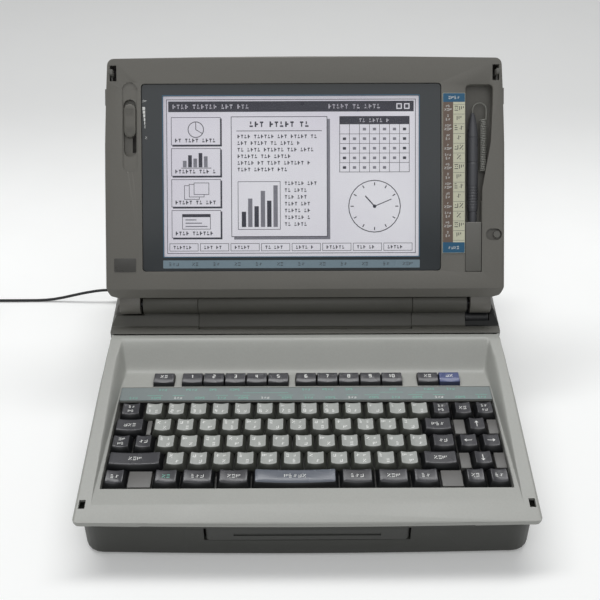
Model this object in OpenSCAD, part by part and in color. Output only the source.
// Portable electronic word processor with a hinged screen lid, a full keyboard and a built-in printer.
// Millimetres. +Z is up, the keyboard faces -Y. The origin is on the table, under the middle of the case.

/* [Case] */
// Width of the case over its side rails
case_w = 360; // [350:1:372]
// Depth of the case, front lip to back
case_d = 372; // [370:1:380]
// Wall of every moulded shell
wall = 2.6; // [2:0.1:3]
// Height of the parting line between the lower and upper shells
split_h = 38; // [36:0.5:38.5]
// How far the lower shell stands in from the upper one
lower_inset = 4; // [3:0.5:5]
// Height of the rubber feet
feet_h = 3; // [2:0.5:5]
// Slope of the side rails that the closed lid rests on, in degrees
rail_tilt = 8; // [7:0.25:9]
// Height of the rails at the latch slots
slot_h = 44; // [43.5:0.25:46]
// From the latch slots forward to the front lip
lip = 18; // [16:0.5:20]
// Radius of the front corners in plan
front_r = 6; // [4:0.5:8]
// Radius of the rear corners in plan
rear_r = 14; // [10:1:18]
// How far the front edge bows forward in its middle
bow = 2; // [1:0.5:3]

/* [Keyboard deck] */
// Slope of the key deck below the rails, in degrees
deck_fall = 5.5; // [5:0.25:5.75]
// Width of each side rail at the deck
rail_w = 12.5; // [11.5:0.25:13.5]
// Distance from the latch slots to the foot of the rise behind the deck
rise_foot = 153; // [151.5:0.5:156]
// Distance from the latch slots to the ridge behind the deck
ridge = 176; // [174:0.5:178]
// Front edge of the key well
well_front = 15.8; // [14:0.2:17]
// Depth of the band printed with key legends
legend_d = 16.4; // [15:0.2:17]
// Pitch of the keys across
key_pitch = 19.05; // [18.7:0.05:19.2]
// Pitch of the key rows
row_pitch = 19; // [18.6:0.1:19.2]
// Height of the key tops above the deck
key_top = 1; // [0.4:0.1:1.2]
// Height of a key cap
cap_h = 7.5; // [7:0.1:8]
// Travel of the keys
key_travel = 3; // [2:0.25:3]
// Gap between neighbouring key caps
cap_gap = 0.8; // [0.6:0.1:1.2]
// Radius of a key stem
stem_r = 2.4; // [2:0.1:2.8]
// Height of the function keys above the deck
fkey_top = 4.3; // [3.5:0.1:5]
// Pitch of the function keys
fkey_pitch = 19.1; // [18.9:0.05:19.3]

/* [Lid] */
// Width of the lid across its middle
lid_w = 364.4; // [362:0.2:368]
// Length of the lid from the hinge axis to its top edge
lid_len = 225; // [223:0.5:226]
// Thickness of the lid
lid_t = 24; // [23:0.25:25]
// How far the open lid leans back from upright, in degrees
lid_lean = 33.5; // [32:0.25:34]
// Height of the window in the lid
window_h = 170.4; // [168:0.2:171]
// Width of the window in the lid
window_w = 272.6; // [268:0.2:273]
// Width of the lit screen area
screen_w = 231.8; // [228:0.2:234]
// Height of the lit screen area
screen_h = 144.8; // [142:0.2:146]

/* [Hinge] */
// Distance along the rails from the latch slots to the hinge axis
hinge_run = 210; // [209:0.25:211]
// Height of the hinge axis above the rails
hinge_rise = 14; // [13.5:0.1:14.5]
// Radius of the hinge barrels
barrel_r = 9; // [8.5:0.1:9.2]
// Gap round the barrels
barrel_gap = 0.7; // [0.5:0.05:0.8]
// Radius of the steel hinge pins
pin_r = 2.5; // [2:0.1:3]
// Running clearance of the pins, in radius
pin_fit = 0.06; // [0.03:0.01:0.09]
// Inner end of each lid leg, from the middle
leg_in = 152; // [151:0.25:153]
// Width of each lid leg
leg_w = 19; // [17:0.25:20]

/* [Pen and controls] */
// Radius of the pen
pen_r = 3.9; // [3.5:0.1:4.1]
// Travel of the pen out of its holder
pen_travel = 14; // [8:1:14]
// Travel of the contrast slider
contrast_travel = 17; // [12:0.5:17]
// Travel of the lid latches
latch_travel = 2; // [1:0.25:2]
// Travel of the pen-holder catch
catch_travel = 5.5; // [4:0.25:6]
// Width of the carrying handle
handle_w = 158; // [140:1:165]
// Travel of the carrying handle
handle_travel = 26; // [18:1:28]

/* [Printer] */
// Radius of the platen
platen_r = 10; // [9:0.25:11]
// Length of the platen
platen_len = 226; // [216:1:230]
// Radius of the paper-feed knob
knob_r = 8; // [7.5:0.1:8.2]
// Half the inside width of the printer frame
frame_half = 120; // [118:0.5:121]
// Half the width of the ribbon door
door_half = 98.7; // [96:0.1:100]
// Depth of the paper cover
cover_d = 40; // [36:0.5:42]

/* [Hidden] */
$fn = 48;

// Colours of the mouldings
case_grey = "#9c9c96";
lid_grey = "#6c6a63";
dark_grey = "#3c3d38";
key_black = "#3a3a3c";
key_light = "#b5b8b2";

// Clearance of a piece that slides or drops into its seat
seat = 0.3;
// A thin overlap, so that joined shapes leave no seam
eps = 0.02;

// Turns a vector to length one
function unit(v) = v / norm(v);

// Arc of radius r that rounds the corner b between a and c
function corner(a, b, c, r, n) =
    r <= 0 ? [b] :
    let(
        u = unit(a - b),
        w = unit(c - b),
        half = acos(u * w) / 2,
        mid = b + unit(u + w) * r / sin(half),
        from = b + u * r / tan(half),
        to = b + w * r / tan(half),
        a0 = atan2(from.y - mid.y, from.x - mid.x),
        a1 = atan2(to.y - mid.y, to.x - mid.x),
        sweep = (a1 - a0 + 540) % 360 - 180
    )
    [for (i = [0:n]) mid + r * [cos(a0 + sweep * i / n), sin(a0 + sweep * i / n)]];

// Outline whose points are [x, y, corner radius]
function soft(p, n = 5) = [
    for (i = [0:len(p) - 1])
    let(
        k = len(p),
        a = p[(i + k - 1) % k],
        b = p[i],
        c = p[(i + 1) % k]
    )
    each corner([a.x, a.y], [b.x, b.y], [c.x, c.y], b.z, n)
];

// The same outline mirrored left to right and joined, for points given on the right side only
function both_sides(p) = concat(p, [for (i = [len(p) - 1:-1:0]) [-p[i].x, p[i].y, p[i].z]]);

// Extrudes a side view of depth and height over a width, from x0 to x1
module across(x0, x1) {
    translate([x0, 0, 0]) rotate([90, 0, 90]) linear_extrude(x1 - x0) children();
}

// Extrudes a front view of width and height over a depth, from y0 to y1
module along(y0, y1) {
    translate([0, y1, 0]) rotate([90, 0, 0]) linear_extrude(y1 - y0) children();
}

// Box given by its lowest and highest corners
module block(a, b) {
    translate(a) cube(b - a);
}

// Rod along X between two places
module rod(x0, x1, y, z, r) {
    translate([x0, y, z]) rotate([0, 90, 0]) cylinder(h = x1 - x0, r = r);
}

// Stadium-shaped outline, long way along the second axis
module stadium(w, l) {
    translate([0, l / 2 - w / 2]) circle(d = w);
    translate([0, w / 2 - l / 2]) circle(d = w);
    square([w, l - w], center = true);
}

// Places on the case
front_y = -case_d / 2;
rear_y = case_d / 2;
slot_y = front_y + lip;

// A point of the side view given along the rails and square to them, as depth and height
function rp(y, z) = [
    slot_y + y * cos(rail_tilt) - z * sin(rail_tilt),
    slot_h + y * sin(rail_tilt) + z * cos(rail_tilt)
];
function rp3(y, z, r) = [rp(y, z).x, rp(y, z).y, r];
hinge = rp(hinge_run, hinge_rise);

// Frames of the rails, of the key deck and of the open lid
module on_rails() {
    translate([0, slot_y, slot_h]) rotate([rail_tilt, 0, 0]) children();
}
module on_deck() {
    on_rails() rotate([-deck_fall, 0, 0]) children();
}
module on_lid() {
    translate([0, hinge.x, hinge.y]) rotate([90 - lid_lean, 0, 0]) children();
}

// Seam between the upper shell and the rear cover
seam_run = 186;
seam_y = rp(seam_run, 0).x;
plateau = -1;
half_w = case_w / 2;
waist = 2;
hump_half = leg_in - 2.6;
shoulder = 7.5;

// Plan outlines of the shells
function front_bow(h, y) = [for (i = [-5:5]) [i / 5 * (h - 20), y + bow * pow(i / 5, 2), 0]];
function upper_plan(t) = concat(
    [[-(half_w - t), front_y + t + bow, front_r]],
    front_bow(half_w - t, front_y + t),
    [
        [half_w - t, front_y + t + bow, front_r],
        [half_w - t, slot_y + 100, 0],
        [half_w - t - waist, seam_y, 0],
        [-(half_w - t - waist), seam_y, 0],
        [-(half_w - t), slot_y + 100, 0]
    ]
);
function rear_plan(t, y0) = [
    [-(half_w - t), y0, t > 0 ? 0 : 3],
    [half_w - t, y0, t > 0 ? 0 : 3],
    [half_w - t, rear_y - t, rear_r - t],
    [-(half_w - t), rear_y - t, rear_r - t]
];
lower_r = 20;
function lower_plan(t) = concat(
    [[-(half_w - t), front_y + t + bow, lower_r - t]],
    front_bow(half_w - t, front_y + t),
    [
        [half_w - t, front_y + t + bow, lower_r - t],
        [half_w - t, rear_y - t, rear_r - t],
        [-(half_w - t), rear_y - t, rear_r - t]
    ]
);

// Heights of the lower shell's floor
floor_h = feet_h + wall;

// Handle bay
handle_h = 15;
handle_t = 13;
handle_z = split_h - 3.5 - handle_h;
handle_arm = 13;
handle_reach = 44;
arm_h = 6;
grip_bay = 28;
bay_d = handle_reach + 3;

// Printer places, from the hinge
platen_y = hinge.x + 62;
platen_z = hinge.y - 24;
rail_y = platen_y - 34;
rail_z = platen_z - 20;
shelf_z = platen_z - 27;
plate_t = 2.5;
frame_front = platen_y - 54;
frame_back = platen_y + 20;
knob_at = rp(hinge_run - 1.4, hinge_rise - 17.5);
knob_in = hump_half;
knob_out = leg_in + leg_w - 0.4;
pocket_in = knob_in - 0.8;
pocket_out = knob_out + 0.6;
pulley_r = 5;
pulley_x = frame_half + plate_t + 3;
pulley_w = 6;
belt_t = 1.4;
belt_run = norm([platen_y - knob_at.x, platen_z - knob_at.y]);
belt_turn = atan2(platen_z - knob_at.y, platen_y - knob_at.x);

// Rear housing: its top starts where the open lid's back comes to rest
stop_gap = 0.45;
lid_face = hinge_rise - 0.4;
lid_rear = lid_face - lid_t;
top_z = rp(0, 0).y + 236 * sin(rail_tilt) + 24 * cos(rail_tilt);
lean = 90 - lid_lean;
function lid_side(v, w) = [hinge.x + v * cos(lean) - w * sin(lean), hinge.y + v * sin(lean) + w * cos(lean)];
slope_lo = lid_side(7, lid_rear - stop_gap);
slope_v = (top_z - hinge.y - (lid_rear - stop_gap) * cos(lean)) / sin(lean);
slope_hi = lid_side(slope_v, lid_rear - stop_gap);
saddle = [204.2, 4.8];

// Barrel arc seen from the side, between two angles
function barrel_arc(r, a0, a1, n) = [
    for (i = [0:n])
    let(a = a0 + (a1 - a0) * i / n)
    [hinge.x + r * cos(a), hinge.y + r * sin(a), 0]
];

// Side views of the rear cover, over the hinge hump and over the lid's legs
function rear_top(t) = [
    [slope_hi.x + t * 0.6, slope_hi.y - t, t > 0 ? 1 : 2.5],
    [rear_y - t - 16, top_z - t, 10],
    [rear_y - t, top_z - t - 9, 8],
    [rear_y - t, split_h - (t > 0 ? 1 : 0), 0]
];
function hump_view() = concat(
    [[seam_y, split_h, 0], [seam_y, rp(seam_run, plateau).y, 0], rp3(196, plateau, 2), rp3(saddle.x, saddle.y, 0)],
    barrel_arc(barrel_r, 245, -12, 18),
    [[slope_lo.x, slope_lo.y - 3, 0], [slope_lo.x, slope_lo.y, 0]],
    rear_top(0)
);
function leg_view() = concat(
    [[seam_y, split_h, 0], [seam_y, rp(seam_run, plateau).y, 0], rp3(196, plateau, 2), rp3(saddle.x, saddle.y, 0)],
    barrel_arc(barrel_r + 1.6, 245, 312, 8),
    [[slope_lo.x, slope_lo.y - 3, 0], [slope_lo.x, slope_lo.y, 0]],
    rear_top(0)
);
function rear_void() = concat(
    [[seam_y - 1, split_h - 1, 0], [seam_y - 1, rp(seam_run, plateau - wall).y, 0], rp3(197, plateau - wall, 0)],
    [rp3(216, plateau - wall, 0), [slope_lo.x + wall, slope_lo.y - wall - 6, 0]],
    rear_top(wall)
);

// Paper cover and its opening
cover_half = 118;
cover_y = platen_y - 8;
cover_t = 2.4;
cover_pin = [cover_y + cover_d, top_z - 3];

// Key well and caps in the deck's frame: x across, y up the deck, z off it
well_half = half_w - rail_w - 4.5;
first_row = well_front + 3.8 + 4 * row_pitch;
key_x0 = 0.6 - 8.6 * key_pitch;
well_back = first_row + row_pitch + 0.5;
legend_back = well_back + legend_d;
flare = 2.6;
ring = 1.4;
cap_low = key_top - cap_h;
frame_top = cap_low - key_travel;
frame_low = frame_top - 2;
plate_top = frame_low - key_travel - 0.6;
fkey_front = legend_back + 1.2;
fkey_d = 14.2;
fkeys_back = fkey_front + fkey_d + 1.5;

// Left and right ends of the caps, in key pitches from the left of the well
digit_caps = [for (i = [0:12]) [1.2 + i, 2.2 + i]];
upper_caps = [for (i = [0:11]) [1.7 + i, 2.7 + i]];
home_caps = [for (i = [0:11]) [1.95 + i, 2.95 + i]];
lower_caps = [for (i = [0:10]) [2.45 + i, 3.45 + i]];
edit_caps = [for (i = [0:2]) [14.2 + i * 0.98, 15.18 + i * 0.98]];
bottom_caps = [
    [0, 1.03], [2.08, 3.25], [3.25, 4.72], [4.76, 6.23], [9.93, 11.44],
    [11.46, 12.93], [12.94, 14.18], [15.14, 16.13], [16.14, 17.12]
];
space_cap = [6.24, 9.92];
fillers = [[1.46, 1.7, 1], [15.14, 15.66, 1], [16.64, 17.12, 1], [15.12, 15.6, 3], [16.62, 17.12, 3],
    [1.05, 2.06, 4], [14.2, 15.12, 4]];
fkey_left = -135.3;
fkey_starts = [
    fkey_left,
    for (i = [0:4]) -110 + i * fkey_pitch,
    for (i = [0:4]) -8.9 + i * fkey_pitch,
    99.7
];
menu_start = 99.7 + fkey_pitch;

// One key cap between two ends, with its stem
module cap(ends, row, dish = 0) {
    x0 = key_x0 + ends[0] * key_pitch + cap_gap / 2;
    x1 = key_x0 + ends[1] * key_pitch - cap_gap / 2;
    y0 = first_row - row * row_pitch;
    y1 = y0 + row_pitch - cap_gap;
    mid = (x0 + x1) / 2;
    difference() {
        intersection() {
            across(x0, x1) polygon([
                [y0, cap_low], [y1, cap_low], [y1, cap_low + 1.5],
                [y1 - flare, key_top], [y0 + flare + 0.3, key_top], [y0, cap_low + 1.5]
            ]);
            along(y0, y1) polygon([
                [x0, cap_low], [x1, cap_low], [x1, cap_low + 1.5],
                [x1 - flare, key_top], [x0 + flare, key_top], [x0, cap_low + 1.5]
            ]);
        }
        if (dish > 0) {
            translate([mid, y0 - 1, key_top + 38]) rotate([-90, 0, 0]) cylinder(h = row_pitch + 2, r = 38 + dish);
        }
    }
    for (x = stem_places(x0, x1)) {
        translate([x, (y0 + y1) / 2, frame_low + 0.2]) cylinder(h = cap_low - frame_low - 0.2 + eps, r = stem_r, $fn = 24);
    }
}

// A wide cap stands on two stems, a plain one on one
function stem_places(x0, x1) =
    x1 - x0 > 40 ? [x0 + 12, x1 - 12] : [(x0 + x1) / 2];

module caps(list, row, dish = 0) {
    for (ends = list) cap(ends, row, dish);
}

// Hole in the key frame under each stem
module stem_holes(list, row) {
    for (ends = list) {
        x0 = key_x0 + ends[0] * key_pitch + cap_gap / 2;
        x1 = key_x0 + ends[1] * key_pitch - cap_gap / 2;
        y0 = first_row - row * row_pitch;
        for (x = stem_places(x0, x1)) {
            translate([x, y0 + (row_pitch - cap_gap) / 2, frame_low - 1]) cylinder(h = 4, r = stem_r + seat, $fn = 24);
        }
    }
}

// One function key
module fkey(x0) {
    x1 = x0 + fkey_pitch - 0.9;
    difference() {
        across(x0, x1) polygon([
            [fkey_front, -3.5], [fkey_front + fkey_d, -3.5], [fkey_front + fkey_d, 2.2],
            [fkey_front + fkey_d - 1.2, fkey_top], [fkey_front + 2.6, fkey_top], [fkey_front, 0]
        ]);
        translate([(x0 + x1) / 2, fkey_front - 1, fkey_top + 60]) rotate([-90, 0, 0]) cylinder(h = fkey_d + 2, r = 60.25);
    }
    translate([(x0 + x1) / 2, fkey_front + fkey_d / 2, frame_low + 0.2])
        cylinder(h = -3.5 - frame_low - 0.2 + eps, r = stem_r, $fn = 24);
}

// Lower shell: floor, walls, top flange, bays for the handle, the disk drive and the inlet
module lower_case() {
    color(dark_grey) difference() {
        union() {
            difference() {
                translate([0, 0, feet_h]) linear_extrude(split_h - feet_h) polygon(soft(lower_plan(lower_inset)));
                translate([0, 0, floor_h]) linear_extrude(split_h) polygon(soft(lower_plan(lower_inset + wall)));
            }
            difference() {
                translate([0, 0, split_h - 2.5]) linear_extrude(2.5) polygon(soft(lower_plan(0.8)));
                translate([0, 0, split_h - 3]) linear_extrude(4) polygon(soft(lower_plan(lower_inset + wall)));
            }
            handle_bay(wall);
            for (p = screw_places) translate([p.x, p.y, floor_h - eps]) cylinder(h = split_h - floor_h, r = 4.2);
        }
        handle_bay(0);
        for (p = screw_places) translate([p.x, p.y, -1]) {
            cylinder(h = split_h + 4, r = screw_r + 0.2);
            cylinder(h = feet_h + 3.1, r = screw_r + 1.8);
        }
        block([half_w - lower_inset - wall - 1, drive_y + 4, drive_z + 6], [half_w, drive_y + drive_w - 4, drive_z + 22]);
        block([-half_w, inlet_y - inlet_w / 2, inlet_z - inlet_h / 2], [-half_w + lower_inset + wall + 3, inlet_y + inlet_w / 2, inlet_z + inlet_h / 2]);
        block([half_w - lower_inset - wall - 1, switch_y - 8.3, switch_z - 5.3], [half_w, switch_y + 8.3, switch_z + 5.3]);
        for (i = [0:6]) block([-100 + i * 9, rear_y - 70, feet_h - 1], [-95.5 + i * 9, rear_y - 40, floor_h + 1]);
    }
}

// Bay that the carrying handle slides in: tall over the grip, low over the arms
module handle_bay(t) {
    y0 = t > 0 ? front_y + lower_inset + 1 : front_y - 1;
    x1 = handle_w / 2 + 1 + t;
    block([-x1, y0, handle_z - 0.8 - t], [x1, front_y + grip_bay + t, handle_z + handle_h + 0.8 + t / 2]);
    block([-x1, y0, handle_z - 0.8 - t], [x1, front_y + lower_inset + bay_d + t, handle_z + arm_h + 0.8 + t / 2]);
}

// Upper shell: rails, palm rest, sunken key deck and the ridge behind it
module upper_case() {
    color(case_grey) difference() {
        union() {
            difference() {
                upper_form(0);
                upper_form(wall);
            }
            intersection() {
                upper_form(0);
                for (p = screw_places) if (p.y < seam_y) screw_boss(p, 30);
            }
            intersection() {
                upper_form(0);
                on_rails() pan(wall);
            }
            on_deck() difference() {
                block([-well_half - ring, well_front - ring, frame_top], [well_half + ring, fkeys_back + ring, -1]);
                block([-well_half, well_front, frame_top - 1], [well_half, fkeys_back, 0]);
            }
        }
        on_rails() pan(0);
        on_deck() {
            block([-well_half, well_front, -12], [well_half, well_back, 6]);
            block([-well_half, well_back - eps, -1.2], [well_half, legend_back, 6]);
            fkey_slot(fkey_starts[0], 1);
            fkey_slot(fkey_starts[1], 5);
            fkey_slot(fkey_starts[6], 5);
            fkey_slot(fkey_starts[11], 2);
        }
        on_rails() for (s = [-1, 1]) {
            block([s * hook_x - 2.5, -3.4, -wall - 6], [s * hook_x + 2.5, 4.6, 1]);
        }
    }
}

// Slot through the deck for a run of function keys
module fkey_slot(x0, count) {
    block([x0 - seat, fkey_front - seat, -6], [x0 + count * fkey_pitch - 0.9 + seat, fkey_front + fkey_d + seat, 6]);
}

// Solid under the rails and the plateau, inset by t
module upper_form(t) {
    intersection() {
        translate([0, 0, split_h - (t > 0 ? 1 : 0)]) linear_extrude(60) polygon(soft(upper_plan(t)));
        across(-half_w, half_w) polygon(soft([
            [front_y + t, split_h - (t > 0 ? 1 : 0), 0],
            [front_y + t, rp(-lip, -t).y, t > 0 ? 1 : 3],
            rp3(ridge, -t, 1.5),
            rp3(ridge + 3.5, plateau - t, 1.5),
            [seam_y + (t > 0 ? 1 : 0), rp(seam_run, plateau - t).y, 0],
            [seam_y + (t > 0 ? 1 : 0), split_h - (t > 0 ? 1 : 0), 0]
        ]));
        on_rails() along(-lip - 20, seam_run + 20) polygon(soft([
            [-half_w + t, -90, 0], [half_w - t, -90, 0], [half_w - t, -t, t > 0 ? 1 : 3], [-half_w + t, -t, t > 0 ? 1 : 3]
        ]));
    }
}

// Space above the deck between the rails, or the floor that carries it when t is a wall
module pan(t) {
    foot_z = -rise_foot * tan(deck_fall);
    intersection() {
        if (t > 0) {
            across(-half_w, half_w) polygon(soft([
                [-10, -t / 2, 0], [-10, -t, 0], [0, -t, 0], [rise_foot, foot_z - t, 8 - t], [ridge + t / 2, -t, 0], [ridge + t / 2, -t / 2, 0]
            ]));
        } else {
            across(-half_w, half_w) polygon(soft([[0, 0, 0], [rise_foot, foot_z, 8], [ridge, 0, 0], [ridge, 9, 0], [0, 9, 0]]));
        }
        along(-20, ridge + 20) polygon([
            [-(well_half + t), -30], [well_half + t, -30], [well_half + t, foot_z], [half_w - rail_w + t, 0],
            [half_w - rail_w + t, 9], [-(half_w - rail_w + t), 9], [-(half_w - rail_w + t), 0], [-(well_half + t), foot_z]
        ]);
    }
}

// Rear cover: hinge hump, saddles for the lid's legs, knob pocket and the printer housing
module rear_cover() {
    color(dark_grey) difference() {
        intersection() {
            union() {
                across(-hump_half, hump_half) polygon(soft(hump_view()));
                for (s = [-1, 1]) {
                    across(s > 0 ? hump_half - 1 : -half_w, s > 0 ? half_w : 1 - hump_half) polygon(soft(leg_view()));
                }
            }
            cover_form(0);
        }
        difference() {
            intersection() {
                across(-half_w, half_w) polygon(soft(rear_void()));
                cover_form(wall);
            }
            knob_pocket(wall);
            for (s = [-1, 1]) cover_ear(s);
            for (p = screw_places) if (p.y > seam_y) {
                screw_boss(p, 16);
                block([p.x - 1.3, p.y + 3.4, split_h - 1], [p.x + 1.3, rear_y, split_h + 16]);
            }
        }
        knob_pocket(0);
        rod(pulley_x - 5, pocket_out + 4, knob_at.x, knob_at.y, 3 + pin_fit);
        translate([pulley_x - 1.8, knob_at.x, knob_at.y]) rotate([belt_turn, 0, 0]) belt_form(belt_run, pulley_r + belt_t + 0.9, pulley_w + 3.6, 0);
        door_space();
        for (s = [-1, 1]) rod(s > 0 ? door_half : -leg_in, s > 0 ? leg_in : -door_half, hinge.x, hinge.y, pin_r + pin_fit);
        block([-cover_half - seat, cover_y - seat, top_z - 10], [cover_half + seat, cover_pin.x + 3.5, top_z + 5]);
        rod(-cover_half - 6, cover_half + 6, cover_pin.x, cover_pin.y, 1.8 + pin_fit);
    }
}

// Plan and front view of the rear cover, inset by t: its sides lean in above the rails
module cover_form(t) {
    intersection() {
        translate([0, 0, split_h - (t > 0 ? 1 : 0)]) linear_extrude(90) polygon(soft(rear_plan(t, seam_y - (t > 0 ? 2 : 0))));
        on_rails() along(seam_run - 30, 420) polygon(soft(both_sides([
            [half_w - t, -110, 0], [half_w - t, plateau - t * 0.6, 2], [half_w - shoulder - t, 10 - t * 0.6, 3], [half_w - shoulder - t, 80, 0]
        ])));
        along(seam_y - 5, rear_y + 5) polygon(soft(both_sides([
            [half_w, 0, 0], [half_w, top_z - 8, 0], [half_w - 8, top_z, 0]
        ])));
    }
}

// Boss inside the rear cover that holds one pin of the paper cover
module cover_ear(s) {
    block(
        [s > 0 ? cover_half + seat : -cover_half - seat - 7, cover_pin.x - 5, cover_pin.y - 5],
        [s > 0 ? cover_half + seat + 7 : -cover_half - seat, cover_pin.x + 5, top_z]
    );
}

// Pocket that the paper-feed knob turns in
module knob_pocket(t) {
    block(
        [pocket_in - t, knob_at.x - knob_r - 1.6 - t, knob_at.y - knob_r - 1.4 - t],
        [pocket_out + t, knob_at.x + knob_r + 1.2 + t, t > 0 ? knob_at.y + knob_r - 3 : hinge.y + 2]
    );
}

// Opening that the ribbon door closes
module door_space() {
    across(-door_half - seat, door_half + seat) polygon([
        rp(191.7, plateau + 2), rp(191.7, plateau), rp(194.6, plateau - wall - 0.5), rp(196, -8), rp(222, -8),
        lid_side(3, lid_rear - stop_gap - 1), lid_side(8, lid_rear + 6), rp(218, 40), rp(196, 40)
    ]);
}

// Ribbon door: a flap and a barrel in one moulding, on two pins along the hinge line
module ribbon_door() {
    color(dark_grey) {
        intersection() {
            across(-door_half, door_half) polygon(concat(
                [[rp(194.4, plateau - 2.4).x, rp(194.4, plateau - 2.4).y], rp(192, plateau), rp(196, plateau), rp(saddle.x, saddle.y)],
                [for (q = barrel_arc(barrel_r, 245, -85, 30)) [q.x, q.y]],
                [rp(208.5, 2.4), rp(197.4, plateau - 2.4)]
            ));
            on_rails() translate([0, 0, -20]) linear_extrude(60) polygon(soft([
                [-door_half - 1, 191.4, 6], [door_half + 1, 191.4, 6], [door_half + 1, 225, 0], [-door_half - 1, 225, 0]
            ]));
        }
        for (s = [-1, 1]) rod(s > 0 ? door_half - 6 : -door_half - 6, s > 0 ? door_half + 6 : 6 - door_half, hinge.x, hinge.y, pin_r);
    }
}

// Paper cover: the lid over the paper slot, with a rolled rear edge on two stub pins
module paper_cover() {
    color(dark_grey) {
        difference() {
            block([-cover_half, cover_y, top_z - cover_t], [cover_half, cover_pin.x, top_z]);
            for (i = [0:5]) block([-cover_half + 20, cover_y + 6 + i * 3, top_z - 0.6], [-cover_half + 60, cover_y + 7.4 + i * 3, top_z + 1]);
        }
        rod(-cover_half, cover_half, cover_pin.x, cover_pin.y, 3);
        rod(-cover_half - 5, cover_half + 5, cover_pin.x, cover_pin.y, 1.8);
        block([-cover_half + 4, cover_y + 3, top_z - 6], [cover_half - 4, cover_y + 4.6, top_z - 1]);
    }
}

// Rubber feet under the corners
module rubber_feet() {
    color("#26262a") for (x = [-1, 1], y = [front_y + 34, rear_y - 26]) {
        translate([x * (half_w - 36), y, 0]) cylinder(h = feet_h, r = 8);
    }
}

// Screws through the lower shell into the bosses of the upper one and of the rear cover
screw_r = 1.5;
screw_x = half_w - lower_inset - wall - 4.5;
screw_places = [for (s = [-1, 1]) each [[s * screw_x, slot_y + 20], [s * screw_x, seam_y - 12], [s * (screw_x - 30), rear_y - 13.5]]];
module case_screws() {
    color("#8a8d92") for (p = screw_places) translate([p.x, p.y, feet_h + 0.3]) {
        cylinder(h = split_h - feet_h + 4, r = screw_r, $fn = 16);
        cylinder(h = 1.6, r = screw_r + 1.5, $fn = 24);
    }
}
module screw_boss(p, h) {
    translate([p.x, p.y, split_h]) difference() {
        cylinder(h = h, r = 4.2);
        translate([0, 0, -1]) cylinder(h = 6, r = screw_r + 0.05);
    }
}

// Moulded frame that guides the stems and fills the blank places between the keys
module key_frame() {
    color("#22241f") on_deck() difference() {
        union() {
            block([-well_half - ring, well_front - ring, frame_low], [well_half + ring, fkeys_back + ring, frame_top]);
            difference() {
                block([-well_half - ring, well_front - ring, plate_top], [well_half + ring, fkeys_back + ring, frame_low + eps]);
                block([-well_half + 1, well_front + 1, plate_top - 1], [well_half - 1, fkeys_back - 1, frame_low]);
            }
            for (f = fillers) {
                y0 = first_row - f[2] * row_pitch;
                block(
                    [key_x0 + f[0] * key_pitch + 0.5, y0 + 0.5, frame_top - eps],
                    [key_x0 + f[1] * key_pitch - 0.5, y0 + row_pitch - 2, key_top - 4.2]
                );
            }
        }
        stem_holes(digit_caps, 0);
        stem_holes(concat([[0.12, 1.18]], edit_caps), 0);
        stem_holes(concat(upper_caps, [[0, 1.45], [13.72, 15.12], [15.68, 16.62]]), 1);
        stem_holes(concat(home_caps, [[0, 0.98], [1, 1.94], [13.96, 15.12], [15.14, 16.12], [16.14, 17.12]]), 2);
        stem_holes(concat(lower_caps, [[0, 2.44], [13.46, 15.1], [15.62, 16.6]]), 3);
        stem_holes(concat(bottom_caps, [space_cap]), 4);
        for (x0 = concat(fkey_starts, [menu_start])) {
            translate([x0 + (fkey_pitch - 0.9) / 2, fkey_front + fkey_d / 2, frame_low - 1]) cylinder(h = 4, r = stem_r + seat, $fn = 24);
        }
    }
}

// Steel plate with the membrane circuit that the keys press on
module key_plate() {
    color("#a8acae") on_deck() difference() {
        block([-well_half - ring, well_front - ring, plate_top - 1.2], [well_half + ring, fkeys_back + ring, plate_top]);
        for (i = [0:5], j = [0:1]) {
            translate([-130 + i * 52, 40 + j * 60, plate_top - 2]) cylinder(h = 3, r = 3.5);
        }
    }
}

// Printed band behind the keys
module legend_strip() {
    color("#8a8f90") on_deck() block([-well_half + seat, well_back + seat, -1.2], [well_half - seat, legend_back - seat, -0.25]);
}

// Logic board with its chips, on standoffs
module main_board() {
    color("#2f6b45") {
        block([-160, slot_y + 45, floor_h + 5], [160, seam_y - 22, floor_h + 6.6]);
        for (x = [-150, 0, 150], y = [slot_y + 52, seam_y - 30]) {
            translate([x, y, floor_h]) cylinder(h = 5 + eps, r = 3, $fn = 24);
        }
    }
    color("#202225") {
        for (i = [0:4]) block([-120 + i * 48, slot_y + 70, floor_h + 6.6 - eps], [-92 + i * 48, slot_y + 98, floor_h + 9.4]);
        for (i = [0:6]) block([-130 + i * 38, slot_y + 116, floor_h + 6.6 - eps], [-106 + i * 38, slot_y + 126, floor_h + 9.6]);
        block([-60, slot_y + 136, floor_h + 6.6 - eps], [60, slot_y + 142, floor_h + 14]);
    }
}

// Switched supply: board, transformer, capacitors and heat sink
supply_w = 64;
supply_x = -half_w + lower_inset + wall + 6;
module power_supply() {
    y0 = seam_y + 20;
    y1 = y0 + 106;
    color("#b08a4a") block([supply_x, y0, floor_h + 3], [supply_x + supply_w, y1, floor_h + 4.6]);
    color("#2b2c2e") {
        for (x = [6, supply_w - 6], y = [y0 + 6, y1 - 6]) {
            translate([supply_x + x, y, floor_h]) cylinder(h = 3 + eps, r = 3, $fn = 24);
        }
        block([supply_x + 8, y0 + 16, floor_h + 4.6 - eps], [supply_x + 36, y0 + 44, floor_h + 23]);
        for (i = [0:2]) translate([supply_x + 16 + i * 14, y0 + 60, floor_h + 4.6 - eps]) cylinder(h = 18, r = 5.5, $fn = 24);
        block([supply_x + 10, y0 + 78, floor_h + 4.6 - eps], [supply_x + 54, y0 + 80, floor_h + 22]);
    }
}

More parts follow.
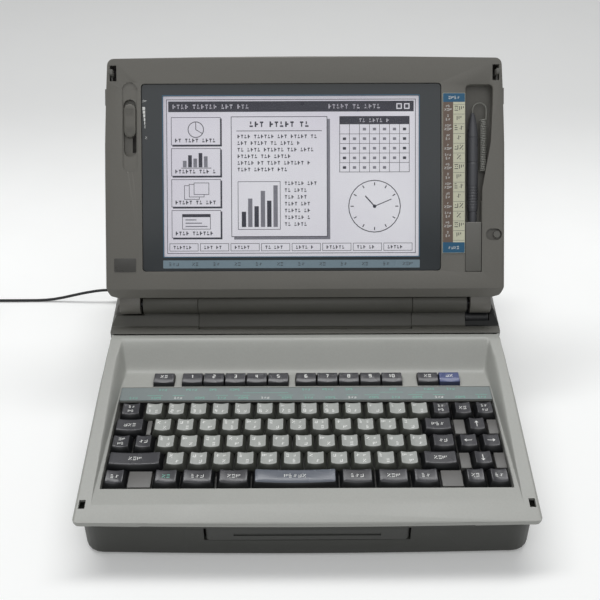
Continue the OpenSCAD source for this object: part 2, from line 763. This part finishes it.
// Steel chassis of the printer: a shelf on four posts, two side plates and a rear paper guide
post_x = [supply_x + supply_w + 6, half_w - lower_inset - wall - 136];
module printer_frame() {
    color("#9aa0a4") difference() {
        union() {
            for (s = [-1, 1]) {
                across(s > 0 ? frame_half : -frame_half - plate_t, s > 0 ? frame_half + plate_t : -frame_half) polygon(soft([
                    [frame_front, shelf_z - 2, 0], [frame_back, shelf_z - 2, 0], [frame_back, platen_z + 14, 6],
                    [platen_y - 16, platen_z + 14, 6], [platen_y - 22, platen_z - 8, 3], [frame_front, platen_z - 10, 4]
                ]));
            }
            block([-frame_half - 1, frame_front, shelf_z - 2], [frame_half + 1, frame_back, shelf_z]);
            block([-frame_half - 1, frame_back - 2, shelf_z - 2], [frame_half + 1, frame_back, platen_z + 12]);
            for (x = post_x, y = [frame_front + 4, frame_back - 4]) {
                translate([x, y, floor_h]) cylinder(h = shelf_z - 1 - floor_h, r = 4, $fn = 24);
            }
        }
        rod(-frame_half - 5, frame_half + 5, platen_y, platen_z, 3 + pin_fit);
        rod(-frame_half - 5, frame_half + 5, rail_y, rail_z, 3);
    }
}

// Ground rod that the carriage slides on
module carriage_rail() {
    color("#c4c8cc") rod(-frame_half - plate_t, frame_half + plate_t, rail_y, rail_z, 3);
}

// Two small motors for the carriage and for the paper feed
module stepper_motors() {
    color("#7c8084") for (x = [post_x[0] + 26, post_x[0] + 66]) {
        translate([x, platen_y, floor_h]) {
            cylinder(h = shelf_z - 2 - floor_h, r = 13);
            translate([-18, -8, shelf_z - 3.5 - floor_h]) cube([36, 16, 1.5]);
        }
    }
}

// Toothed belt that carries the knob's turning to the platen
module feed_belt() {
    color("#1e1f21") translate([pulley_x + 0.5, knob_at.x, knob_at.y]) rotate([belt_turn, 0, 0]) difference() {
        belt_form(belt_run, pulley_r + 0.08 + belt_t, pulley_w - 1, 0);
        belt_form(belt_run, pulley_r + 0.08, pulley_w - 1, 1);
    }
}
module belt_form(l, r, w, grow) {
    rod(-grow, w + grow, 0, 0, r);
    rod(-grow, w + grow, l, 0, r);
    block([-grow, 0, -r], [w + grow, l, r]);
}

// Rubber platen on its steel shaft, with the driven pulley
module platen_roller() {
    color("#26272a") rod(-platen_len / 2, platen_len / 2, platen_y, platen_z, platen_r);
    color("#c4c8cc") rod(-frame_half - plate_t - 2, pulley_x + pulley_w + 2, platen_y, platen_z, 3);
    color("#d8d8d0") pulley(platen_y, platen_z);
}
module pulley(y, z) {
    rod(pulley_x, pulley_x + pulley_w, y, z, pulley_r);
    for (x = [pulley_x - 1, pulley_x + pulley_w]) rod(x, x + 1, y, z, pulley_r + 1.1);
}

// Ribbed knob that feeds the paper by hand, on its own shaft
module platen_knob() {
    color("#1c1d1f") difference() {
        rod(knob_in, knob_out, knob_at.x, knob_at.y, knob_r);
        for (i = [0:23]) {
            translate([0, knob_at.x, knob_at.y]) rotate([i * 15, 0, 0]) block([knob_in + 1.5, -0.45, knob_r - 0.7], [knob_out - 1.5, 0.45, knob_r + 1]);
        }
    }
    color("#c4c8cc") rod(pulley_x - 4, pocket_out + 3, knob_at.x, knob_at.y, 3);
    color("#d8d8d0") pulley(knob_at.x, knob_at.y);
}

// Carriage with the thermal head at its rear edge
carriage_half = 34;
module print_carriage() {
    color("#2c2d30") difference() {
        union() {
            block([-carriage_half, rail_y - 18, rail_z - 5.5], [carriage_half, platen_y - 14, rail_z + 6]);
            block([-12, platen_y - 14 - eps, rail_z - 4], [12, platen_y - platen_r - 2.2, platen_z + 5]);
        }
        rod(-carriage_half - 1, carriage_half + 1, rail_y, rail_z, 3 + pin_fit);
    }
    color("#c9c4b4") block([-6, platen_y - platen_r - 2.2 - eps, platen_z - 4], [6, platen_y - platen_r - 0.6, platen_z + 4]);
}

// Ribbon cassette lying on the carriage, with its two spool hubs
module ribbon_cassette() {
    z0 = rail_z + 6;
    color("#34363b") difference() {
        block([-40, rail_y - 22, z0], [40, platen_y - 15, z0 + 14]);
        for (x = [-22, 22]) translate([x, rail_y - 6, z0 - 1]) cylinder(h = 16, r = 6);
        block([-13, platen_y - 22, z0 - 1], [13, platen_y, z0 + 15]);
    }
    color("#d6d6cf") for (x = [-22, 22]) {
        translate([x, rail_y - 6, z0]) difference() {
            cylinder(h = 12, r = 5.6);
            translate([0, 0, -1]) cylinder(h = 14, r = 3);
        }
    }
}

// Disk drive behind the right wall
drive_w = 101.6;
drive_y = platen_y - 34;
drive_z = floor_h;
module floppy_drive() {
    x1 = half_w - lower_inset;
    color("#a3a7a9") difference() {
        union() {
            block([x1 - wall - 128, drive_y, drive_z], [x1 - wall - 0.3, drive_y + drive_w, shelf_z - 3]);
            block([x1 - wall - 1, drive_y + 4.3, drive_z + 6.3], [x1 - 0.2, drive_y + drive_w - 4.3, drive_z + 21.7]);
        }
        block([x1 - wall - 100, drive_y + 4.8, drive_z + 9], [half_w, drive_y + drive_w - 4.8, drive_z + 14]);
        button_slot(0.3);
    }
}
module button_slot(t) {
    block(
        [half_w - lower_inset - wall - 12 - t, drive_y + drive_w - 22 - t, drive_z + 16 - t],
        [half_w - lower_inset + 1.5 + t, drive_y + drive_w - 10 + t, drive_z + 20 + t]
    );
}

// Button that throws the disk out
module eject_button() {
    color("#b9b9b2") block(
        [half_w - lower_inset - wall - 8, drive_y + drive_w - 22, drive_z + 16],
        [half_w - lower_inset + 1.5, drive_y + drive_w - 10, drive_z + 20]
    );
}

// Sliding power switch on the right side, near the front
switch_y = seam_y - 44;
switch_z = floor_h + 16;
module power_switch() {
    x1 = half_w - lower_inset;
    color("#2a2b2e") {
        block([x1 - wall - 6, switch_y - 13, switch_z - 7], [x1 - wall - 0.3, switch_y + 9, switch_z + 7]);
        block([x1 - wall - 1, switch_y - 8, switch_z - 5], [x1 + 0.4, switch_y + 3, switch_z + 5]);
        for (i = [0:3]) block([x1, switch_y - 6.5 + i * 2.4, switch_z - 4], [x1 + 1.2, switch_y - 5.3 + i * 2.4, switch_z + 4]);
    }
}

// Inlet for the power cord
inlet_y = rear_y - 19;
inlet_z = 14;
inlet_w = 18;
inlet_h = 12;
module ac_inlet() {
    x0 = -half_w + lower_inset;
    color("#1f2022") difference() {
        block([x0, inlet_y - inlet_w / 2 + 0.1, inlet_z - inlet_h / 2 + 0.1], [x0 + 20, inlet_y + inlet_w / 2 - 0.1, inlet_z + inlet_h / 2 - 0.1]);
        translate([x0 - 1, 0, 0]) inlet_hole(15, 0.3);
    }
    color("#c8b070") for (y = [-3, 3]) rod(x0 + 3, x0 + 16, inlet_y + y, inlet_z, 1.1);
}
module inlet_hole(l, t) {
    for (y = [-3, 3]) rod(0, l, inlet_y + y, inlet_z, 3.6 + t);
}

// Steel pins of the lid hinge
module hinge_pins() {
    color("#b8bcc0") for (s = [-1, 1]) {
        rod(s > 0 ? door_half + 12 : -leg_in - leg_w + 3, s > 0 ? leg_in + leg_w - 3 : -door_half - 12, hinge.x, hinge.y, pin_r);
    }
}

// Carrying handle that slides out of the front on two flat arms
module front_handle() {
    y0 = front_y + lower_inset - 0.4;
    x1 = handle_w / 2;
    color(dark_grey) {
        difference() {
            translate([0, 0, handle_z]) linear_extrude(handle_h) polygon(soft(both_sides([[x1, y0, 4], [x1, y0 + handle_t, 3]])));
            block([22 - x1, y0 - 1, handle_z + 5], [x1 - 22, y0 + 0.8, handle_z + 8]);
        }
        translate([0, 0, handle_z]) linear_extrude(arm_h) polygon(soft(both_sides([
            [x1, y0 + 6, 0], [x1, y0 + handle_reach, 2], [x1 - handle_arm, y0 + handle_reach, 2], [x1 - handle_arm, y0 + handle_t - eps, 8]
        ])));
    }
}

// Lid places
bevel_v = 13.9;
lid_low = 5.5;
lid_cut = 8;
lid_split = 1;
hook_x = 174.2;
hook_v = hinge_run;
button_v = 189;
window_x = -12.2;
window_v = 30.2;
glass_t = 2;
glass_face = lid_face - 1.2;
bay_floor = 3.3;
bay_left = 146.1;
pen_x = 153.8;
pen_w = bay_floor + pen_r + 0.4;
holder_v = 74.4;
holder_base = 29;
holder_right = 160.9;
contrast_x = -158.8;
contrast_v0 = 134.6;
contrast_v1 = 186.6;
contrast_knob_v = 167.4;
catch_at = [172.3, 63.1];

// Lid outline: nearly straight sides, a bowed top edge and cut lower corners
function lid_plan(t) = both_sides([
    [leg_in + leg_w - 1, lid_low + t, 0],
    [lid_w / 2 - 3.4, lid_low + 2.4 + t, 4],
    [lid_w / 2 - t, bevel_v + 2, 6],
    [lid_w / 2 - t, 100, 0],
    [lid_w / 2 - 0.5 - t, 150, 0],
    [lid_w / 2 - 1.9 - t, 190, 0],
    [lid_w / 2 - 3.4 - t, lid_len - 1.8 - t, 6],
    [90, lid_len - 0.4 - t, 0],
    [0.01, lid_len - t, 0]
]);
// Solid of the lid between two levels, inset by t
module lid_form(t, w0, w1) {
    intersection() {
        translate([0, 0, w0]) linear_extrude(w1 - w0) polygon(soft(lid_plan(t), 4));
        across(-lid_w / 2, lid_w / 2) polygon(soft([
            [lid_low + t, lid_rear + t, t > 0 ? 1 : 5],
            [lid_len + 1 - t, lid_rear + t, t > 0 ? 2 : 6],
            [lid_len + 1 - t, lid_face - t, t > 0 ? 1 : 3],
            [bevel_v + t / 2, lid_face - t, t > 0 ? 0 : 1.5],
            [lid_low + t, lid_cut - t / 2, 0]
        ]));
        along(-5, lid_len + 5) polygon(soft([
            [-lid_w / 2 + t, lid_rear + t, t > 0 ? 2 : 7], [lid_w / 2 - t, lid_rear + t, t > 0 ? 2 : 7],
            [lid_w / 2 - t, lid_face - t, t > 0 ? 1 : 2.5], [-lid_w / 2 + t, lid_face - t, t > 0 ? 1 : 2.5]
        ]));
    }
}

// Hollow that clears the hump between the legs: round in the rear shell, a plain slope in the front one
module lid_scoop() {
    rod(0.25 - leg_in, leg_in - 0.25, 0, 0, barrel_r + barrel_gap);
}
module lid_chamfer() {
    across(0.25 - leg_in, leg_in - 0.25) polygon([[0, -2], [11.9, -2], [5.8, 9], [0, 9]]);
}

// Rear shell of the lid with its two hinge legs
module lid_back() {
    color(lid_grey) on_lid() difference() {
        union() {
            difference() {
                lid_form(0, lid_rear - 1, lid_split);
                lid_form(wall, lid_rear - 1, lid_split + 1);
            }
            for (s = [-1, 1]) {
                x0 = s > 0 ? leg_in : -leg_in - leg_w;
                x1 = s > 0 ? leg_in + leg_w : -leg_in;
                rod(x0, x1, 0, 0, barrel_r);
                block([x0, 0, -barrel_r], [x1, lid_low + 8, 0]);
                block([x0, 0, -1], [x1, lid_low + 1.5, lid_cut]);
            }
        }
        lid_scoop();
        for (s = [-1, 1]) rod(s > 0 ? leg_in - 2 : -leg_in - leg_w + 2, s > 0 ? leg_in + leg_w - 2 : 2 - leg_in, 0, 0, pin_r + pin_fit);
    }
}

// Front shell of the lid: window frame, pen bay, contrast slider well, latch windows
module lid_bezel() {
    color(lid_grey) on_lid() difference() {
        union() {
            difference() {
                lid_form(0, lid_split, lid_face + 1);
                lid_form(wall, lid_split - 1, lid_face + 1);
            }
            bay_space(wall / 2);
            translate([contrast_x, (contrast_v0 + contrast_v1) / 2, lid_face - 6.2]) linear_extrude(5) stadium(14.4, contrast_v1 - contrast_v0 + 3);
            translate([catch_at.x - 0.3, catch_at.y, lid_face - 5]) rotate([0, 0, 90]) linear_extrude(4) stadium(12.6, 17);
        }
        lid_chamfer();
        for (s = [-1, 1]) {
            block([s > 0 ? leg_in - 0.3 : -leg_in - leg_w - 0.3, -10, -12], [s > 0 ? leg_in + leg_w + 0.3 : 0.3 - leg_in, lid_low + 1.9, lid_cut + 0.2]);
            rod(s > 0 ? leg_in - 0.3 : -leg_in - leg_w - 0.3, s > 0 ? leg_in + leg_w + 0.3 : 0.3 - leg_in, 0, 0, barrel_r + 0.3);
            block([s > 0 ? hook_x - 3.6 : -hook_x - 2.4, hook_v - 7, lid_face - wall - 1], [s > 0 ? hook_x + 2.4 : 3.6 - hook_x, hook_v + 7, lid_face + 1]);
            block([s > 0 ? lid_w / 2 - 8 : -lid_w / 2 - 1, button_v - 8, 3.4], [s > 0 ? lid_w / 2 + 1 : 8 - lid_w / 2, button_v + 8, 11]);
        }
        translate([window_x, window_v + window_h / 2, lid_face - wall - 1]) linear_extrude(6) rounded_rect(window_w, window_h, 3);
        bay_space(0);
        bay_mouth();
        translate([contrast_x, (contrast_v0 + contrast_v1) / 2, lid_face - 4.5]) linear_extrude(6) stadium(11.5, contrast_v1 - contrast_v0);
        translate([contrast_x, 161, lid_face - 0.8]) linear_extrude(2) stadium(13.6, 81.5);
        block([contrast_x + 1.6, contrast_v0 + 4, lid_face - 8], [contrast_x + 5, contrast_v0 + 34, lid_face]);
        translate([catch_at.x, catch_at.y, lid_face - 3]) rotate([0, 0, 90]) linear_extrude(5) stadium(10.6, 14.6);
    }
}
module rounded_rect(w, h, r) {
    polygon(soft([[-w / 2, -h / 2, r], [w / 2, -h / 2, r], [w / 2, h / 2, r], [-w / 2, h / 2, r]]));
}

// Room behind the face for the pen, its holder and its curled cord
module bay_space(t) {
    block([bay_left - t, holder_base - t, bay_floor - t], [holder_right + 0.4 + t, 98 + t, lid_face - (t > 0 ? 0.5 : -1)]);
    block([bay_left - t, 94, bay_floor - t], [171.1 + t / 2, 199 + t, lid_face - wall + (t > 0 ? 1 : 0)]);
}
// Mouth of the bay in the face, with its curved right-hand edge
module bay_mouth() {
    translate([0, 0, lid_face - wall - 1]) linear_extrude(6) polygon(soft([
        [bay_left, holder_base, 1.5], [holder_right + 0.4, holder_base, 1.5], [holder_right + 0.8, 104, 20],
        [169.4, 147, 20], [171, 180, 0], [171, 199, 4], [bay_left, 199, 4]
    ]));
}

// Tinted window over the screen
module screen_window() {
    color([0.25, 0.3, 0.33, 0.6]) on_lid() translate([window_x, window_v + window_h / 2, glass_face - glass_t])
        linear_extrude(glass_t) rounded_rect(window_w - seat, window_h - seat, 3);
}

// Liquid-crystal panel behind the window
module lcd_panel() {
    color("#c9ccd6") on_lid() block(
        [window_x - screen_w / 2 - 12, window_v + 4, 3.2],
        [window_x + screen_w / 2 + 12, window_v + window_h - 2, glass_face - glass_t - 0.1]
    );
}

// Tube light and its inverter board along the foot of the screen
module backlight() {
    color("#2f6b45") on_lid() {
        block([-110, 14, lid_rear + wall + 3], [60, 27, lid_rear + wall + 4.6]);
        for (x = [-104, 54]) translate([x, 20.5, lid_rear + wall]) cylinder(h = 3 + eps, r = 2.4, $fn = 24);
    }
    color("#2b2c2e") on_lid() {
        block([-90, 15, lid_rear + wall + 4.6 - eps], [-66, 26, lid_rear + wall + 11]);
        block([20, 15, lid_rear + wall + 4.6 - eps], [34, 26, lid_rear + wall + 10]);
    }
}

// Block that the pen's tip stands in
module pen_holder() {
    color("#5e5d58") on_lid() difference() {
        block([bay_left + seat, holder_base + seat, bay_floor + 0.1], [holder_right, holder_v, lid_face - 0.4]);
        translate([pen_x, holder_base + 10, pen_w]) rotate([-90, 0, 0]) cylinder(h = holder_v, r = pen_r + 0.25);
    }
}

// Printed card beside the screen
module function_card() {
    color("#cfcfb9") on_lid() block([125.4, 46.3, lid_face], [145.7, 191.3, lid_face + 0.5]);
}

// Contrast slider
module contrast_slider() {
    color(lid_grey) on_lid() difference() {
        union() {
            translate([contrast_x, contrast_knob_v, lid_face - 4.2]) linear_extrude(4.6) stadium(10.6, 30);
            block([contrast_x + 2.2, contrast_knob_v - 9, lid_face - 8.4], [contrast_x + 4.4, contrast_knob_v - 3, lid_face - 4]);
        }
        translate([contrast_x, contrast_knob_v - 1, lid_face + 2.2]) rotate([0, 90, 0]) cylinder(h = 20, r = 3.4, center = true);
    }
}

// Pen with a tapered tail
module pen() {
    color("#45464a") on_lid() translate([pen_x, 0, pen_w]) rotate([-90, 0, 0]) {
        translate([0, 0, holder_base + 14]) cylinder(h = 152 - holder_base - 14, r = pen_r);
        translate([0, 0, 152 - eps]) cylinder(h = 15, r1 = pen_r, r2 = 3);
        translate([0, 0, 167 - 2 * eps]) cylinder(h = 7, r1 = 3, r2 = 1.3);
        translate([0, 0, holder_base + 10.4]) cylinder(h = 4, r1 = 1, r2 = 2.6);
    }
}

// Cord of the pen: a bow over the tail and a curled length that runs under the face
cord_w = pen_w;
bow_r = 6.2;
curl_x = pen_x + 2 * bow_r - 2.8;
curl_top = 168;
module pen_cord() {
    color("#232427") on_lid() translate([0, 0, cord_w]) {
        translate([pen_x + bow_r, 177, 0]) rotate_extrude(angle = 180, $fn = 40) translate([bow_r, 0]) circle(r = 0.9, $fn = 16);
        translate([pen_x, 174.3, 0]) rotate([-90, 0, 0]) cylinder(h = 3, r = 1.15, $fn = 24);
        translate([curl_x, curl_top - 1, 0]) rotate([-90, 0, -atan2(2.8, 178 - curl_top)]) cylinder(h = norm([2.8, 178 - curl_top]), r = 1.15, $fn = 24);
        translate([curl_x, 119, 0]) rotate([-90, 0, 0]) cylinder(h = curl_top - 119, r = 3.3);
    }
}

// Lid latch on one side: hook, bar and release button in one moulding
module latch(s) {
    color("#2a2b2c") on_lid() mirror([s > 0 ? 0 : 1, 0, 0]) {
        block([hook_x - 1.2, hook_v - 2.5, 6], [hook_x + 1.2, hook_v + 2.5, lid_face + 6]);
        block([hook_x - 1.2, hook_v - 2.5, lid_face + 4.2], [hook_x + 2, hook_v + 2.5, lid_face + 6]);
        block([hook_x + 0.1, button_v - 7.5, 6], [hook_x + 1.7, hook_v + 2.5, lid_face - wall - 0.4]);
        block([hook_x, button_v - 7.5, 3.8], [lid_w / 2 - 0.6, button_v + 7.5, 10.6]);
    }
}
module latch_left() {
    latch(-1);
}
module latch_right() {
    latch(1);
}

// Small catch beside the pen holder
module holder_catch() {
    color("#55554f") on_lid() {
        translate([catch_at.x + 2.8, catch_at.y, lid_face - 2.8]) cylinder(h = 2.6, r = 3);
    }
}

// Route of the power cord from the connector to the coil
cord_r = 1.5;
cord_len = 1800;
cord_route = [
    [-214, 167, 14], [-220, 167, 13.7], [-227, 166.9, 12.9], [-235, 166.8, 11.5], [-244, 166.7, 9.6], [-254, 166.5, 7.2],
    [-264, 166.3, 4.8], [-274, 166.1, 2.9], [-283, 166, 1.9], [-292, 165.9, 1.5], [-304, 165.8, 1.5], [-318, 165.75, 1.5],
    [-334, 165.75, 1.5], [-349, 165.75, 1.5]
];
coil_at = [-360, 142];
coil_r = 17.75;

// Direction of the route at point i
function heading(i) = unit(cord_route[min(i + 1, len(cord_route) - 1)] - cord_route[max(i - 1, 0)]);
// Ring of eight points round the route at point i
function ring(i) =
    let(
        d = heading(i),
        side = unit(cross(d, [0, 0, 1])),
        up = cross(side, d)
    )
    [for (k = [0:7]) cord_route[i] + cord_r * (cos(k * 45) * side + sin(k * 45) * up)];
module power_cord() {
    n = len(cord_route);
    color("#18191b") polyhedron(
        points = [for (i = [0:n - 1]) each ring(i)],
        faces = concat(
            [[for (k = [7:-1:0]) k]],
            [for (i = [0:n - 2], k = [0:7]) [i * 8 + k, i * 8 + (k + 1) % 8, (i + 1) * 8 + (k + 1) % 8, (i + 1) * 8 + k]],
            [[for (k = [0:7]) (n - 1) * 8 + k]]
        )
    );
}

// Neat coil of the length that is put away
coil_h = 9;
coil_t = 15;
module cord_coil() {
    color("#18191b") translate([coil_at.x, coil_at.y, 0]) rotate_extrude() translate([coil_r - coil_t / 2, 0]) square([coil_t, coil_h]);
}

// Plug at the far end of the cord, lying on the coil
plug_at = [-366, 153.75];
module power_plug() {
    translate([plug_at.x, plug_at.y, coil_h + 0.2]) {
        color("#1d1e20") block([-23, -13, 0], [0, 13, 15]);
        color("#c8b070") for (y = [-6.35, 6.35]) block([-40, y - 3.2, 6.75], [-23 + eps, y + 3.2, 8.25]);
    }
}

// Connector in the inlet, with a tapered strain relief
module cord_connector() {
    x0 = -half_w + lower_inset;
    color("#1d1e20") {
        translate([x0 - 0.6, 0, 0]) difference() {
            inlet_hole(13.5, -0.1);
            for (y = [-3, 3]) rod(2.5, 14, inlet_y + y, inlet_z, 1.4);
        }
        block([x0 - 14.5, inlet_y - 8.6, inlet_z - 5.6], [x0 - 0.3, inlet_y + 8.6, inlet_z + 5.6]);
        translate([x0 - 14.5 + eps, inlet_y, inlet_z]) rotate([0, -90, 0]) cylinder(h = 23.5 + eps, r1 = 4.4, r2 = 1.9);
    }
}

// Keys by group
module function_keys() {
    color(key_black) on_deck() for (x0 = fkey_starts) fkey(x0);
}
module menu_key() {
    color("#5a6a9a") on_deck() fkey(menu_start);
}
module digit_keys() {
    color(key_light) on_deck() caps(digit_caps, 0, 0.4);
}
module upper_letter_keys() {
    color(key_light) on_deck() caps(upper_caps, 1, 0.4);
}
module home_letter_keys() {
    color(key_light) on_deck() caps(home_caps, 2, 0.4);
}
module lower_letter_keys() {
    color(key_light) on_deck() caps(lower_caps, 3, 0.4);
}
module left_side_keys() {
    color(key_black) on_deck() {
        caps([[0.12, 1.18]], 0);
        caps([[0, 1.45]], 1);
        caps([[0, 0.98], [1, 1.94]], 2);
    }
}
module edit_keys() {
    color(key_black) on_deck() caps(edit_caps, 0);
}
module return_key() {
    color(key_black) on_deck() {
        caps([[13.72, 15.12]], 1);
        caps([[13.96, 15.12]], 2);
    }
}
module left_shift_key() {
    color(key_black) on_deck() cap([0, 2.44], 3);
}
module right_shift_key() {
    color(key_black) on_deck() cap([13.46, 15.1], 3);
}
module up_arrow_key() {
    color(key_black) on_deck() cap([15.68, 16.62], 1);
}
module left_arrow_key() {
    color(key_black) on_deck() cap([15.14, 16.12], 2);
}
module right_arrow_key() {
    color(key_black) on_deck() cap([16.14, 17.12], 2);
}
module down_arrow_key() {
    color(key_black) on_deck() cap([15.62, 16.6], 3);
}
module space_bar() {
    color("#6a7080") on_deck() cap(space_cap, 4);
}
module bottom_row_keys() {
    color(key_black) on_deck() caps(bottom_caps, 4);
}

lower_case();
upper_case();
rear_cover();
rubber_feet();
key_frame();
key_plate();
legend_strip();
main_board();
power_supply();
printer_frame();
carriage_rail();
stepper_motors();
feed_belt();
floppy_drive();
ac_inlet();
hinge_pins();
case_screws();
front_handle();
platen_roller();
platen_knob();
print_carriage();
ribbon_cassette();
ribbon_door();
paper_cover();
eject_button();
power_switch();
function_keys();
menu_key();
digit_keys();
upper_letter_keys();
home_letter_keys();
lower_letter_keys();
left_side_keys();
edit_keys();
return_key();
left_shift_key();
right_shift_key();
up_arrow_key();
left_arrow_key();
right_arrow_key();
down_arrow_key();
space_bar();
bottom_row_keys();
lid_back();
lid_bezel();
screen_window();
lcd_panel();
backlight();
pen_holder();
function_card();
contrast_slider();
pen();
latch_left();
latch_right();
holder_catch();
pen_cord();
power_cord();
cord_coil();
power_plug();
cord_connector();
